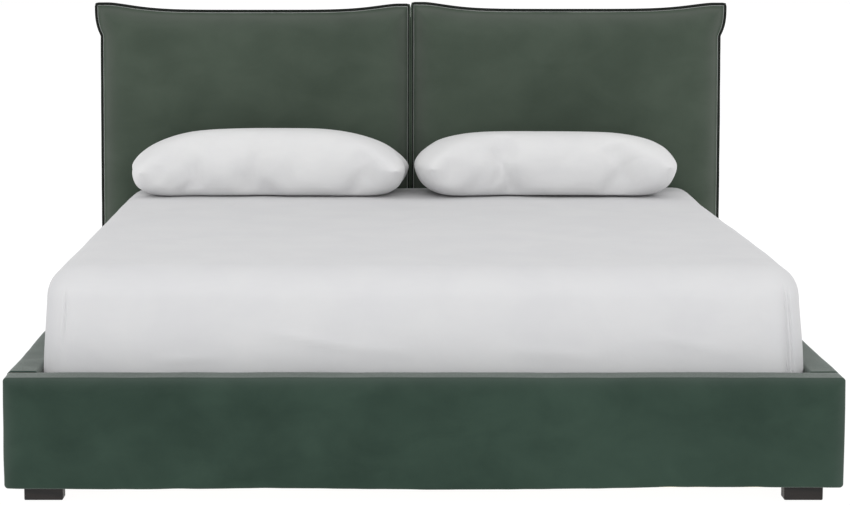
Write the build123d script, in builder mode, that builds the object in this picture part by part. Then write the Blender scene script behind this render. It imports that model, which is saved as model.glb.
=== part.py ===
"""Upholstered king bed: velvet frame, hook-on headboard cushions, slats, mattress, bedding, pillows.

Frame of the part: origin on the floor at the middle of the bed, +Z up, +X to the right
of someone who stands at the foot and looks at the headboard, +Y towards the headboard.
"""

import os
from math import pi

from build123d import *

# ---------------------------------------------------------------- driving dimensions, mm
MATTRESS_WIDTH = 1930.0
MATTRESS_LENGTH = 2032.0
SIDE_ROOM = 26.0  # between the mattress and each side rail, where the bedding is tucked
END_ROOM = 22.0  # between the mattress and the footboard, and at the head
RAIL_THICKNESS = 76.0
FOOTBOARD_THICKNESS = 88.0
RAIL_TOP = 322.0
FOOT_HEIGHT = 38.0  # also the height of the underside of the rails
UPHOLSTERY_ROUND = 9.0

VELVET = 3.0  # cover with its backing
WADDING = 12.0  # foam on the rails
COVER_RETURN = 36.0  # width of cover that turns in under a rail

SLAT_TOP = 262.0
SLAT_THICKNESS = 19.0
SLAT_WIDTH = 68.0
SLAT_COUNT = 13
LEDGER_THICKNESS = 24.0
LEDGER_HEIGHT = 44.0
BEAM_WIDTH = 45.0
BEAM_HEIGHT = 92.0
LEG_SIDE = 46.0
LEG_COUNT = 3
LEG_FOOT_GAP = 34.0  # between the underside of a centre leg and the floor

CUSHION_DEPTH = 105.0
CUSHION_LOW = 345.0  # middle of the lower edge
CUSHION_HIGH = 1200.0  # middle of the upper edge
CORNER_RISE = 29.0  # how far the upper corners stand above the middle
CORNER_DROP = 17.0
CORNER_FLARE = 23.0  # how far the outer corners stand out to the side
FLANGE_WIDTH = 9.0
FLANGE_THICKNESS = 7.0
CLEAT_GAP = 15.0

POST_WIDTH = 90.0
POST_THICKNESS = 45.0
FACE_PLY = 9.0
BACKREST_HALF_WIDTH = 1052.0
BACKREST_TOP = 1172.0
DUST_CLOTH = 2.0

MATTRESS_TOP = 577.0
SHOULDER = 62.0  # rounding of the mattress's edges
TICKING = 7.0
QUILT = 8.0
COVERLET = 6.0
CLEAR = 0.3  # between soft layers of different pieces

PILLOW_SPANS = {"left": (-944.0, -2.0), "right": (6.0, 900.0)}  # ends of each pillow across the bed
PILLOW_HALF_DEPTH = 200.0
PILLOW_HALF_HEIGHT = 111.0
PILLOW_CENTRE_FROM_HEAD = 216.0
PILLOWCASE = 2.0

# ---------------------------------------------------------------- worked out from them
WELL_HALF = MATTRESS_WIDTH / 2 + SIDE_ROOM
HALF_WIDTH = WELL_HALF + RAIL_THICKNESS
WELL_LENGTH = MATTRESS_LENGTH + 2 * END_ROOM
BACKREST_DEPTH = VELVET + FACE_PLY + POST_THICKNESS + VELVET + DUST_CLOTH
HALF_LENGTH = (FOOTBOARD_THICKNESS + WELL_LENGTH + CUSHION_DEPTH + CLEAT_GAP + BACKREST_DEPTH) / 2

FOOT_FRONT = -HALF_LENGTH
FOOT_BACK = FOOT_FRONT + FOOTBOARD_THICKNESS
WELL_HEAD = FOOT_BACK + WELL_LENGTH
CUSHION_BACK = WELL_HEAD + CUSHION_DEPTH
CUSHION_MIDDLE = WELL_HEAD + CUSHION_DEPTH / 2
BACKREST_FRONT = CUSHION_BACK + CLEAT_GAP
PLY_BACK = BACKREST_FRONT + VELVET + FACE_PLY
POST_BACK = PLY_BACK + POST_THICKNESS
BACKREST_BACK = POST_BACK + VELVET
MATTRESS_FOOT = FOOT_BACK + END_ROOM
MATTRESS_HEAD = MATTRESS_FOOT + MATTRESS_LENGTH
SLAT_UNDER = SLAT_TOP - SLAT_THICKNESS
LEDGER_LOW = SLAT_UNDER - LEDGER_HEIGHT
BEAM_LOW = SLAT_UNDER - BEAM_HEIGHT
INNER_RETURN_LOW = SLAT_TOP + 3.0  # lower edge of the cover on the inside of the rails

SIDES = {"left": -1, "right": 1}


def save(piece, name):
    """Labels a finished piece and writes it as one STEP file."""
    piece.label = name
    export_step(piece, f"parts/{name}.step")


def block(x, y, z, mode=Mode.ADD):
    """A box between the low and high value of each axis, inside the open part."""
    size = (x[1] - x[0], y[1] - y[0], z[1] - z[0])
    with Locations(((x[0] + x[1]) / 2, (y[0] + y[1]) / 2, (z[0] + z[1]) / 2)):
        return Box(*size, mode=mode)


def eased_block(x, y, z, radius):
    """A block whose upright and upper edges are rounded."""
    with BuildPart() as piece:
        block(x, y, z)
        upright = piece.edges().filter_by(Axis.Z)
        top = piece.faces().sort_by(Axis.Z)[-1].edges()
        fillet(upright + top, radius)
    return piece.part


def cylinder_along(start, direction, radius, length, mode=Mode.ADD):
    """A cylinder that starts at a point and runs along a direction."""
    with Locations(Plane(origin=start, z_dir=direction)):
        return Cylinder(radius, length, align=(Align.CENTER, Align.CENTER, Align.MIN), mode=mode)


def mirrored(low, high, side):
    """The span low..high on the right of the bed, or its mirror image on the left."""
    return (low, high) if side > 0 else (-high, -low)


# ---------------------------------------------------------------- upholstered rails
def footboard():
    """Frame, foam and cover of the full-width footboard, nested in one another."""
    x = (-HALF_WIDTH, HALF_WIDTH)
    y = (FOOT_FRONT, FOOT_BACK)
    z = (FOOT_HEIGHT, RAIL_TOP)
    skin = VELVET
    deep = VELVET + WADDING
    open_back = (INNER_RETURN_LOW - 2 * RAIL_TOP, INNER_RETURN_LOW)
    underside = (FOOT_FRONT + COVER_RETURN, FOOT_BACK + skin)

    outer = eased_block(x, y, z, UPHOLSTERY_ROUND)
    inner = eased_block((x[0] + skin, x[1] - skin), (y[0] + skin, y[1] - skin),
                        (z[0] + skin, z[1] - skin), UPHOLSTERY_ROUND - skin)

    with BuildPart() as cover:
        add(outer)
        add(inner, mode=Mode.SUBTRACT)
        block((-WELL_HALF, WELL_HALF), (y[1] - 2 * skin, y[1] + skin), open_back, mode=Mode.SUBTRACT)
        block((x[0] + COVER_RETURN, x[1] - COVER_RETURN), underside, (z[0] - skin, z[0] + 2 * skin),
              mode=Mode.SUBTRACT)
    save(cover.part, "footboard_cover")

    with BuildPart() as foam:
        add(inner)
        block((x[0] + deep, x[1] - deep), (y[0] + deep, y[1] - deep), (z[0], z[1] - deep),
              mode=Mode.SUBTRACT)
        block((-WELL_HALF, WELL_HALF), (y[1] - deep - skin, y[1] + skin), open_back,
              mode=Mode.SUBTRACT)
    save(foam.part, "footboard_foam")

    with BuildPart() as frame:
        block((x[0] + deep, x[1] - deep), (y[0] + deep, y[1] - deep), (z[0] + skin, z[1] - deep))
        block((-WELL_HALF, WELL_HALF), (y[1] - deep, y[1]), (z[0] + skin, INNER_RETURN_LOW))
        block((x[0] + COVER_RETURN, x[1] - COVER_RETURN), (y[0] + COVER_RETURN, y[1] - deep),
              (z[0], z[0] + skin))
    save(frame.part, "footboard_frame")


def side_rail(side_name, side):
    """Frame, foam and cover of one side rail, extruded from their cross-sections."""
    inner = WELL_HALF
    outer = HALF_WIDTH
    skin = VELVET
    deep = VELVET + WADDING
    low = FOOT_HEIGHT
    top = RAIL_TOP
    run = BACKREST_FRONT - FOOT_BACK

    def section(outline, crown_round=0.0, hollow_round=0.0):
        with BuildPart() as piece:
            with BuildSketch(Plane.XZ.offset(-FOOT_BACK)):
                with BuildLine():
                    Polyline(*[(side * across, height) for across, height in outline], close=True)
                make_face()
            extrude(amount=-run)
            if hollow_round:
                fillet(piece.edges().filter_by(Axis.Y).group_by(Axis.Z)[-2], hollow_round)
            if crown_round:
                fillet(piece.edges().filter_by(Axis.Y).group_by(Axis.Z)[-1], crown_round)
        return piece.part

    cover = section([
        (outer, low), (outer, top), (inner, top), (inner, INNER_RETURN_LOW),
        (inner + skin, INNER_RETURN_LOW), (inner + skin, top - skin), (outer - skin, top - skin),
        (outer - skin, low + skin), (outer - COVER_RETURN, low + skin), (outer - COVER_RETURN, low),
    ], crown_round=UPHOLSTERY_ROUND, hollow_round=UPHOLSTERY_ROUND - skin)
    foam = section([
        (outer - skin, low + skin), (outer - skin, top - skin), (inner + skin, top - skin),
        (inner + skin, INNER_RETURN_LOW), (inner + deep, INNER_RETURN_LOW),
        (inner + deep, top - deep), (outer - deep, top - deep), (outer - deep, low + skin),
    ], crown_round=UPHOLSTERY_ROUND - skin)
    frame = section([
        (outer - deep, low + skin), (outer - deep, top - deep), (inner + deep, top - deep),
        (inner + deep, INNER_RETURN_LOW), (inner, INNER_RETURN_LOW), (inner, low),
        (outer - COVER_RETURN, low), (outer - COVER_RETURN, low + skin),
    ])
    save(cover, f"side_rail_cover_{side_name}")
    save(foam, f"side_rail_foam_{side_name}")
    save(frame, f"side_rail_frame_{side_name}")


# ---------------------------------------------------------------- feet
FOOT_WIDTH = 99.0
FOOT_DEPTH = 50.0
FOOT_INSET = 45.5
FRONT_FOOT_Y = FOOT_FRONT + COVER_RETURN - 6.0 + FOOT_DEPTH / 2
REAR_FOOT_Y = (PLY_BACK + POST_BACK) / 2
FOOT_X = HALF_WIDTH - FOOT_INSET - FOOT_WIDTH / 2
REAR_FOOT_X = BACKREST_HALF_WIDTH - 6.0 - FOOT_WIDTH / 2
SCREW_SHANK = 2.5
SCREW_HEAD = 5.0
SCREW_HEAD_HEIGHT = 3.0
HOLE_CLEAR = 0.2
COUNTERBORE = 12.0
FOOT_SCREW_LENGTH = 66.0


def foot(name, x, y):
    """A dark stained block foot with eased lower edges and two counterbored screw holes."""
    with BuildPart() as piece:
        block((x - FOOT_WIDTH / 2, x + FOOT_WIDTH / 2), (y - FOOT_DEPTH / 2, y + FOOT_DEPTH / 2),
              (0, FOOT_HEIGHT))
        fillet(piece.edges().filter_by(Axis.Z), 3.0)
        fillet(piece.faces().sort_by(Axis.Z)[0].edges(), 3.5)
        for shift in (-FOOT_WIDTH / 4, FOOT_WIDTH / 4):
            under = (x + shift, y, 0)
            cylinder_along(under, (0, 0, 1), SCREW_SHANK + HOLE_CLEAR, FOOT_HEIGHT,
                           mode=Mode.SUBTRACT)
            cylinder_along(under, (0, 0, 1), SCREW_HEAD + 3 * HOLE_CLEAR, COUNTERBORE,
                           mode=Mode.SUBTRACT)
    save(piece.part, name)


def screw(x, y, seat, length, up):
    """A wood screw with a domed head whose seat is at this height, driven up or down."""
    direction = 1 if up else -1
    with BuildPart() as piece:
        with BuildSketch(Plane.XY.offset(seat)):
            with Locations((x, y)):
                Circle(SCREW_SHANK)
        extrude(amount=direction * length)
        with BuildSketch(Plane.XY.offset(seat)):
            with Locations((x, y)):
                Circle(SCREW_HEAD)
        extrude(amount=-direction * SCREW_HEAD_HEIGHT)
    return piece.part.solid()


def feet():
    """Four block feet and the screws that hold them."""
    places = {
        "foot_front_left": (-FOOT_X, FRONT_FOOT_Y),
        "foot_front_right": (FOOT_X, FRONT_FOOT_Y),
        "foot_rear_left": (-REAR_FOOT_X, REAR_FOOT_Y),
        "foot_rear_right": (REAR_FOOT_X, REAR_FOOT_Y),
    }
    screws = []
    for name, (x, y) in places.items():
        foot(name, x, y)
        for shift in (-FOOT_WIDTH / 4, FOOT_WIDTH / 4):
            screws.append(screw(x + shift, y, COUNTERBORE, FOOT_SCREW_LENGTH, up=True))
    save(Compound(children=screws), "foot_screws")


# ---------------------------------------------------------------- corner hardware
BRACKET_LEG = 62.0
BRACKET_PLATE = 4.0
BRACKET_LOW = 92.0
BRACKET_HIGH = 188.0
BOLT_RADIUS = 3.0
BOLT_HEAD_RADIUS = 6.5
BOLT_HEAD_HEIGHT = 4.0
BOLT_LENGTH = 46.0
BOLT_HEIGHTS = (112.0, 168.0)
BOLT_FROM_CORNER = 40.0
NUT_RADIUS = 5.0
NUT_LENGTH = 10.0


def bolt_places():
    """Seat point and inward direction of every frame bolt: rail bolts, then end bolts."""
    places = []
    for side in SIDES.values():
        for end_y, into in ((FOOT_BACK, 1), (BACKREST_FRONT, -1)):
            for height in BOLT_HEIGHTS:
                along = end_y + into * BOLT_FROM_CORNER
                places.append(((side * (WELL_HALF - BRACKET_PLATE), along, height), (side, 0, 0)))
                across = side * (WELL_HALF - BOLT_FROM_CORNER)
                places.append(((across, end_y + into * BRACKET_PLATE, height), (0, -into, 0)))
    return places


def corner_hardware():
    """Angle brackets inside the four corners, their bolts, and barrel nuts in the timber."""
    brackets = []
    for side in SIDES.values():
        for end_y, into in ((FOOT_BACK, 1), (BACKREST_FRONT, -1)):
            with BuildPart() as bracket:
                y_leg = sorted((end_y, end_y + into * BRACKET_LEG))
                y_plate = sorted((end_y, end_y + into * BRACKET_PLATE))
                block(mirrored(WELL_HALF - BRACKET_PLATE, WELL_HALF, side), y_leg,
                      (BRACKET_LOW, BRACKET_HIGH))
                block(mirrored(WELL_HALF - BRACKET_LEG, WELL_HALF, side), y_plate,
                      (BRACKET_LOW, BRACKET_HIGH))
                inner_bend = bracket.edges().filter_by(Axis.Z).sort_by_distance(
                    (side * (WELL_HALF - BRACKET_PLATE), end_y + into * BRACKET_PLATE, 140))[0]
                fillet(inner_bend, 6.0)
                for seat, direction in bolt_places():
                    cylinder_along(seat, direction, BOLT_RADIUS + 0.3, BRACKET_PLATE * 2,
                                   mode=Mode.SUBTRACT)
            brackets.append(bracket.part.solid())
    save(Compound(children=brackets), "corner_brackets")

    bolts = []
    nuts = []
    for seat, direction in bolt_places():
        back = tuple(-part for part in direction)
        tip = [s + d * (BOLT_LENGTH - NUT_LENGTH) for s, d in zip(seat, direction)]
        with BuildPart() as bolt:
            cylinder_along(seat, direction, BOLT_RADIUS, BOLT_LENGTH)
            cylinder_along(seat, back, BOLT_HEAD_RADIUS, BOLT_HEAD_HEIGHT)
            rim = bolt.edges().filter_by(GeomType.CIRCLE).sort_by(SortBy.RADIUS)[-2:]
            fillet(rim.sort_by_distance(tuple(s + b * 9 for s, b in zip(seat, back)))[0], 1.6)
        bolts.append(bolt.part.solid())
        with BuildPart() as nut:
            cylinder_along(tip, direction, NUT_RADIUS, NUT_LENGTH)
            cylinder_along(tip, direction, BOLT_RADIUS + 0.05, NUT_LENGTH, mode=Mode.SUBTRACT)
        nuts.append(nut.part.solid())
    save(Compound(children=bolts), "corner_bolts")
    save(Compound(children=nuts), "insert_nuts")


# ---------------------------------------------------------------- mattress support
BEAM_START = FOOT_BACK + 2.0
BEAM_END = BACKREST_FRONT - 2.0
HANGER_PLATE = 2.0
HANGER_LENGTH = 46.0
LEG_PLATE = 4.0
STEM_RADIUS = 4.0
STEM_PITCH = 1.25
STEM_LENGTH = 44.0
STEM_HEX_RADIUS = 6.4
STEM_HEX_HEIGHT = 6.0
PAD_RADIUS = 21.0
PAD_HEIGHT = 12.0
TNUT_RADIUS = 5.2
LEG_BORE = 34.0


def ledgers():
    """Timber strips that carry the slats, and the board that stops the mattress at the head."""
    for side_name, side in SIDES.items():
        with BuildPart() as ledger:
            block(mirrored(WELL_HALF - LEDGER_THICKNESS, WELL_HALF, side),
                  (FOOT_BACK + LEDGER_THICKNESS, BACKREST_FRONT), (LEDGER_LOW, SLAT_UNDER))
            chamfer(ledger.edges().filter_by(Axis.Y), 1.5)
        save(ledger.part, f"side_ledger_{side_name}")
    with BuildPart() as foot_ledger:
        block((-WELL_HALF, WELL_HALF), (FOOT_BACK, FOOT_BACK + LEDGER_THICKNESS),
              (LEDGER_LOW, SLAT_UNDER))
        block((-BEAM_WIDTH, BEAM_WIDTH), (FOOT_BACK, FOOT_BACK + LEDGER_THICKNESS),
              (LEDGER_LOW, SLAT_UNDER), mode=Mode.SUBTRACT)
    save(foot_ledger.part, "foot_ledger")
    with BuildPart() as stop:
        block((-WELL_HALF, WELL_HALF), (WELL_HEAD, WELL_HEAD + LEDGER_THICKNESS),
              (SLAT_UNDER, RAIL_TOP - 6.0))
        chamfer(stop.faces().sort_by(Axis.Z)[-1].edges().filter_by(Axis.X), 2.0)
    save(stop.part, "head_stop_board")


def slat_places():
    """The middle of every slat along the bed, evenly spaced."""
    first = FOOT_BACK + SLAT_WIDTH / 2 + 6.0
    last = WELL_HEAD - SLAT_WIDTH / 2 - 6.0
    step = (last - first) / (SLAT_COUNT - 1)
    return [first + step * index for index in range(SLAT_COUNT)]


def slats():
    """Pine slats with eased edges, screwed to the ledgers at both ends."""
    half = WELL_HALF - 3.0
    planks = []
    screws = []
    for middle in slat_places():
        with BuildPart() as plank:
            block((-half, half), (middle - SLAT_WIDTH / 2, middle + SLAT_WIDTH / 2),
                  (SLAT_UNDER, SLAT_TOP))
            fillet(plank.edges().filter_by(Axis.X), 3.0)
        planks.append(plank.part.solid())
        for side in SIDES.values():
            x = side * (WELL_HALF - LEDGER_THICKNESS / 2)
            screws.append(screw(x, middle, SLAT_TOP, 44.0, up=False))
    save(Compound(children=planks), "slats")
    save(Compound(children=screws), "slat_screws")


def centre_beam():
    """Beam under the slats, carried by a folded steel hanger at each end."""
    with BuildPart() as beam:
        block((-BEAM_WIDTH / 2, BEAM_WIDTH / 2), (BEAM_START + HANGER_PLATE, BEAM_END - HANGER_PLATE),
              (BEAM_LOW, SLAT_UNDER))
        chamfer(beam.edges().filter_by(Axis.Y), 1.5)
    save(beam.part, "centre_beam")

    hangers = []
    half = BEAM_WIDTH / 2
    for end_y, into in ((FOOT_BACK, 1), (BACKREST_FRONT, -1)):
        reach = sorted((end_y, end_y + into * HANGER_LENGTH))
        plate = sorted((end_y, end_y + into * (HANGER_PLATE + 2.0)))
        with BuildPart() as hanger:
            block((-half - HANGER_PLATE, half + HANGER_PLATE), reach,
                  (BEAM_LOW - HANGER_PLATE, BEAM_LOW + 56.0))
            block((-half, half), reach, (BEAM_LOW, BEAM_LOW + 60.0), mode=Mode.SUBTRACT)
            block((-half, half), plate, (BEAM_LOW - HANGER_PLATE, BEAM_LOW + 56.0))
        hangers.append(hanger.part.solid())
    save(Compound(children=hangers), "beam_hangers")


def centre_legs():
    """Beech legs under the beam with plates, threaded inserts, levelling stems and pads."""
    leg_top = BEAM_LOW - LEG_PLATE
    spacing = (WELL_HEAD - FOOT_BACK) / (LEG_COUNT + 1)
    legs = []
    plates = []
    inserts = []
    names = ("foot", "middle", "head")
    for index, place in enumerate(names):
        y = FOOT_BACK + spacing * (index + 1)
        half = LEG_SIDE / 2
        with BuildPart() as leg:
            block((-half, half), (y - half, y + half), (LEG_FOOT_GAP, leg_top))
            fillet(leg.edges().filter_by(Axis.Z), 4.0)
            chamfer(leg.faces().sort_by(Axis.Z)[0].edges(), 2.0)
            cylinder_along((0, y, LEG_FOOT_GAP), (0, 0, 1), TNUT_RADIUS, LEG_BORE,
                           mode=Mode.SUBTRACT)
        legs.append(leg.part.solid())
        with BuildPart() as plate:
            block((-half - 8, half + 8), (y - half - 8, y + half + 8), (leg_top, BEAM_LOW))
            fillet(plate.edges().filter_by(Axis.Z), 8.0)
        plates.append(plate.part.solid())
        with BuildPart() as insert:
            cylinder_along((0, y, LEG_FOOT_GAP), (0, 0, 1), TNUT_RADIUS, 14.0)
            cylinder_along((0, y, LEG_FOOT_GAP), (0, 0, -1), 10.0, 1.5)
            cylinder_along((0, y, LEG_FOOT_GAP - 1.5), (0, 0, 1), STEM_RADIUS + 0.08, 18.0,
                           mode=Mode.SUBTRACT)
        inserts.append(insert.part.solid())
        levelling_foot(place, y)
    save(Compound(children=legs), "centre_legs")
    save(Compound(children=plates), "leg_plates")
    save(Compound(children=inserts), "leg_inserts")


def levelling_foot(place, y):
    """One swivel pad and its threaded stem, whose ball end sits in the pad."""
    ball = 6.0
    ball_centre = 7.4
    with BuildPart() as pad:
        with BuildSketch(Plane.YZ.offset(0)):
            with BuildLine():
                Polyline((y, 0), (y + PAD_RADIUS, 0), (y + PAD_RADIUS, 3.0),
                         (y + 11.0, PAD_HEIGHT - 1.5), (y + 10.0, PAD_HEIGHT - 1.0), (y, PAD_HEIGHT - 1.0),
                         close=True)
            make_face()
        revolve(axis=Axis((0, y, 0), (0, 0, 1)))
        with Locations((0, y, ball_centre)):
            Sphere(ball + 0.05, mode=Mode.SUBTRACT)
        cylinder_along((0, y, ball_centre), (0, 0, 1), STEM_RADIUS + 0.9, PAD_HEIGHT,
                       mode=Mode.SUBTRACT)
    save(pad.part, f"leveller_pad_{place}")

    with BuildPart() as stem:
        with Locations((0, y, ball_centre)):
            Sphere(ball)
        cylinder_along((0, y, ball_centre), (0, 0, 1), STEM_RADIUS, STEM_LENGTH)
        with BuildSketch(Plane.XY.offset(PAD_HEIGHT + 0.6)):
            with Locations((0, y)):
                RegularPolygon(STEM_HEX_RADIUS, 6)
        extrude(amount=STEM_HEX_HEIGHT)
    save(stem.part, f"leveller_stem_{place}")


# ---------------------------------------------------------------- backrest of the headboard
RAIL_SPAN = BACKREST_HALF_WIDTH - VELVET - POST_WIDTH
CROSS_RAIL = 90.0
CROSS_RAIL_LOWS = {"low": FOOT_HEIGHT + VELVET, "middle": 560.0, "high": BACKREST_TOP - VELVET - CROSS_RAIL}


def backrest():
    """Timber backrest: posts, cross rails, stile, plywood face, velvet cover, dust cloth."""
    x_out = BACKREST_HALF_WIDTH
    x_wood = BACKREST_HALF_WIDTH - VELVET
    low = FOOT_HEIGHT
    top = BACKREST_TOP
    depth = (PLY_BACK, POST_BACK)
    for side_name, side in SIDES.items():
        with BuildPart() as post:
            block(mirrored(x_wood - POST_WIDTH, x_wood, side), depth, (low, top - VELVET))
        save(post.part, f"headboard_post_{side_name}")
    for name, rail_low in CROSS_RAIL_LOWS.items():
        with BuildPart() as rail:
            block((-RAIL_SPAN, RAIL_SPAN), depth, (rail_low, rail_low + CROSS_RAIL))
        save(rail.part, f"headboard_cross_rail_{name}")
    stiles = []
    lows = list(CROSS_RAIL_LOWS.values())
    for start, end in zip(lows[:-1], lows[1:]):
        with BuildPart() as stile:
            block((-POST_WIDTH / 2, POST_WIDTH / 2), depth, (start + CROSS_RAIL, end))
        stiles.append(stile.part.solid())
    save(Compound(children=stiles), "headboard_stiles")

    with BuildPart() as face:
        block((-x_wood, x_wood), (BACKREST_FRONT + VELVET, PLY_BACK), (low + VELVET, top - VELVET))
    save(face.part, "headboard_plywood_face")

    with BuildPart() as cover:
        block((-x_out, x_out), (BACKREST_FRONT, BACKREST_BACK), (low, top))
        fillet(cover.edges().filter_by(Axis.Z) + cover.faces().sort_by(Axis.Z)[-1].edges(), 5.0)
        block((-x_wood, x_wood), (BACKREST_FRONT + VELVET, POST_BACK), (low - VELVET, top - VELVET),
              mode=Mode.SUBTRACT)
        block((-x_wood + 50, x_wood - 50), (POST_BACK - VELVET, BACKREST_BACK + VELVET),
              (low - VELVET, top - VELVET - 50), mode=Mode.SUBTRACT)
    save(cover.part, "headboard_back_cover")

    with BuildPart() as cloth:
        block((-x_out + 16, x_out - 16), (BACKREST_BACK, BACKREST_BACK + DUST_CLOTH), (low + 12, top - 16))
    save(cloth.part, "headboard_dust_cloth")


# ---------------------------------------------------------------- headboard cushions
SEAM_HALF_GAP = 0.5
CUSHION_BEVEL = 22.0
CORNER_REACH = 120.0  # length of edge that a drawn-out corner takes up
BOARD_THICKNESS = 12.0
BOARD_INSET = 70.0
CLEAT_PLATE = 3.0
CLEAT_CLEAR = 0.3  # between the two cleats where they hook
CLEAT_GRIP = 25.0  # height of the parts that hook and of the parts that are screwed on
CLEAT_HALF = 190.0
CLEAT_HEIGHT = 910.0
CLEAT_MIDDLE = 530.0


def cushion_outline(side, inset):
    """Closed outline of one cushion: straight by its neighbour, drawn out at the other corners."""
    near = side * (SEAM_HALF_GAP + inset)
    far = side * (HALF_WIDTH - inset)
    tip = side * (HALF_WIDTH + CORNER_FLARE - inset)
    reach = side * CORNER_REACH
    high = CUSHION_HIGH - inset
    low = CUSHION_LOW + inset
    peak = high + CORNER_RISE
    dip = low - CORNER_DROP
    with BuildLine() as outline:
        Line((near, dip), (near, peak))
        ThreePointArc((near, peak), (near + reach / 2, high + CORNER_RISE / 5), (near + reach, high))
        Line((near + reach, high), (far - reach, high))
        ThreePointArc((far - reach, high), (far - reach / 2, high + CORNER_RISE / 5), (tip, peak))
        ThreePointArc((tip, peak), (far + side * CORNER_FLARE / 5, high - CORNER_REACH / 2),
                      (far, high - CORNER_REACH))
        Line((far, high - CORNER_REACH), (far, low + CORNER_REACH))
        ThreePointArc((far, low + CORNER_REACH), (far + side * CORNER_FLARE / 5, low + CORNER_REACH / 2),
                      (tip, dip))
        ThreePointArc((tip, dip), (far - reach / 2, low - CORNER_DROP / 5), (far - reach, low))
        Line((far - reach, low), (near + reach, low))
        ThreePointArc((near + reach, low), (near + reach / 2, low - CORNER_DROP / 5), (near, dip))
    return outline.line


def cushion_shape(side, inset):
    """Padded cushion inside its outline, with bevelled front and back edges."""
    outline = cushion_outline(side, FLANGE_WIDTH + inset)
    with BuildPart() as shape:
        with BuildSketch(Plane.XZ.offset(-CUSHION_MIDDLE)):
            with BuildLine():
                add(outline)
            make_face()
        extrude(amount=CUSHION_DEPTH / 2 - inset, both=True)
        ends = shape.faces().sort_by(Axis.Y)
        chamfer(ends[0].edges() + ends[-1].edges(), CUSHION_BEVEL)
    return shape.part


def cleat_profile(points, x_middle):
    """A strip of folded metal of this cross-section, centred on x."""
    with BuildPart() as strip:
        with BuildSketch(Plane.YZ.offset(x_middle - CLEAT_HALF)):
            with BuildLine():
                Polyline(*points, close=True)
            make_face()
        extrude(amount=2 * CLEAT_HALF)
    return strip.part


def headboard_cushions():
    """Two hook-on cushions: plywood board, foam, flanged velvet cover, and both cleats."""
    wall = CUSHION_BACK
    base = BACKREST_FRONT
    plate = CLEAT_PLATE
    stand = wall + plate + CLEAT_CLEAR  # the frame cleat's upstand, just behind the cushion's plate
    lip = base - CLEAT_CLEAR - plate  # the cushion cleat's lip, just in front of the backrest
    shelf = CLEAT_HEIGHT + plate
    bridge = CLEAT_HEIGHT + CLEAT_GRIP + CLEAT_CLEAR
    frame_cleats = []
    for side_name, side in SIDES.items():
        outer = cushion_shape(side, 0)
        inner = cushion_shape(side, VELVET)
        with BuildPart() as board:
            block(mirrored(BOARD_INSET, HALF_WIDTH - BOARD_INSET, side),
                  (wall - VELVET - BOARD_THICKNESS, wall - VELVET),
                  (CUSHION_LOW + BOARD_INSET, CUSHION_HIGH - BOARD_INSET))
        with BuildPart() as foam:
            add(inner)
            add(board.part, mode=Mode.SUBTRACT)
        with BuildPart() as cover:
            add(outer)
            with BuildSketch(Plane.XZ.offset(-CUSHION_MIDDLE)):
                with BuildLine():
                    add(cushion_outline(side, 0))
                make_face()
            extrude(amount=FLANGE_THICKNESS / 2, both=True)
            add(inner, mode=Mode.SUBTRACT)
        save(board.part, f"cushion_board_{side_name}")
        save(foam.part, f"cushion_foam_{side_name}")
        save(cover.part, f"cushion_cover_{side_name}")
        hook = cleat_profile([
            (wall, bridge + plate + CLEAT_GRIP), (wall, bridge), (lip, bridge), (lip, shelf + 1.0),
            (lip + plate, shelf + 1.0), (lip + plate, bridge + plate),
            (wall + plate, bridge + plate), (wall + plate, bridge + plate + CLEAT_GRIP),
        ], side * CLEAT_MIDDLE)
        save(hook, f"cushion_cleat_{side_name}")
        hanger = cleat_profile([
            (base, CLEAT_HEIGHT - CLEAT_GRIP), (base, shelf), (stand + plate, shelf),
            (stand + plate, CLEAT_HEIGHT + CLEAT_GRIP), (stand, CLEAT_HEIGHT + CLEAT_GRIP),
            (stand, CLEAT_HEIGHT), (base - plate, CLEAT_HEIGHT),
            (base - plate, CLEAT_HEIGHT - CLEAT_GRIP),
        ], side * CLEAT_MIDDLE)
        frame_cleats.append(hanger.solid())
    save(Compound(children=frame_cleats), "headboard_cleats")


# ---------------------------------------------------------------- mattress and bedding
def rounded_block(grow, low, high, radius):
    """The mattress's block grown sideways, rounded on its upper and its upright edges."""
    half = MATTRESS_WIDTH / 2 + grow
    with BuildPart() as piece:
        block((-half, half), (MATTRESS_FOOT - grow, MATTRESS_HEAD + grow), (low, high))
        upright = piece.edges().filter_by(Axis.Z)
        fillet(upright, radius)
        fillet(piece.faces().sort_by(Axis.Z)[-1].edges(), radius)
    return piece.part


def layer(name, outer, inner):
    """A layer of bedding: the outer block without the inner one."""
    with BuildPart() as piece:
        add(outer)
        add(inner, mode=Mode.SUBTRACT)
    save(piece.part, name)


def mattress():
    """Core, ticking, quilted pad and coverlet, each a true layer round the one inside."""
    top = MATTRESS_TOP
    core = rounded_block(-TICKING, SLAT_TOP + TICKING, top - TICKING, SHOULDER - TICKING)
    ticking = rounded_block(0, SLAT_TOP, top, SHOULDER)
    save(core, "mattress_core")
    layer("mattress_ticking", ticking, core)

    quilt_in = rounded_block(CLEAR, SLAT_TOP - 10, top + CLEAR, SHOULDER + CLEAR)
    quilt_out = rounded_block(CLEAR + QUILT, SLAT_TOP + 30, top + CLEAR + QUILT, SHOULDER + CLEAR + QUILT)
    layer("mattress_pad", quilt_out, quilt_in)

    grow = 2 * CLEAR + QUILT
    linen_in = rounded_block(grow, SLAT_TOP - 10, top + grow, SHOULDER + grow)
    linen_out = rounded_block(grow + COVERLET, SLAT_TOP + 12, top + grow + COVERLET,
                              SHOULDER + grow + COVERLET)
    layer("coverlet", linen_out, linen_in)


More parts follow.
